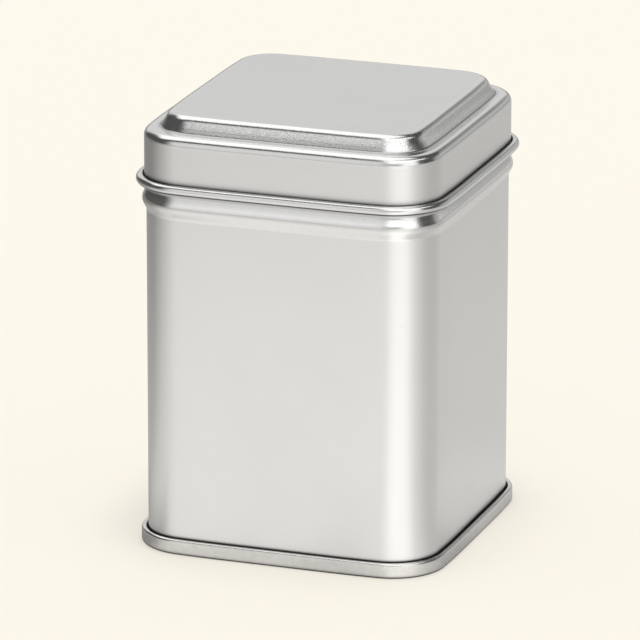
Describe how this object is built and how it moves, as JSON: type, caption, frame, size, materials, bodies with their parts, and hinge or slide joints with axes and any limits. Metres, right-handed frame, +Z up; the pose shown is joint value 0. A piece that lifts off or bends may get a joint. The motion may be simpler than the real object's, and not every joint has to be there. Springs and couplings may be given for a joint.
{
  "type": "square tea tin",
  "caption": "Square tinplate tea tin with round corners: a seamed body with a folded base rim and a bead, and a slip-on lid with a raised panel and a curled edge.",
  "frame": {"origin": "middle of the face that the tin stands on", "axes": "+Z up along the tin's axis, the way the lid lifts; X and Y square to the sides; the lock seam is on the +Y side"},
  "size_m": [0.0746, 0.0746, 0.1016],
  "materials": {
    "body_tinplate": "satin rolled tinplate",
    "base_tinplate": "bright folded tinplate",
    "lid_tinplate": "satin drawn tinplate, bright at its bends"
  },
  "bodies": {
    "tin_body": {"body_wall": "body_tinplate", "base_plate": "base_tinplate"},
    "lid": {"lid": "lid_tinplate"}
  },
  "joints": [
    {"name": "lid_lift", "type": "slide", "parent": "tin_body", "child": "lid", "axis": [0, 0, 1], "range_m": [0, 0.04]}
  ]
}
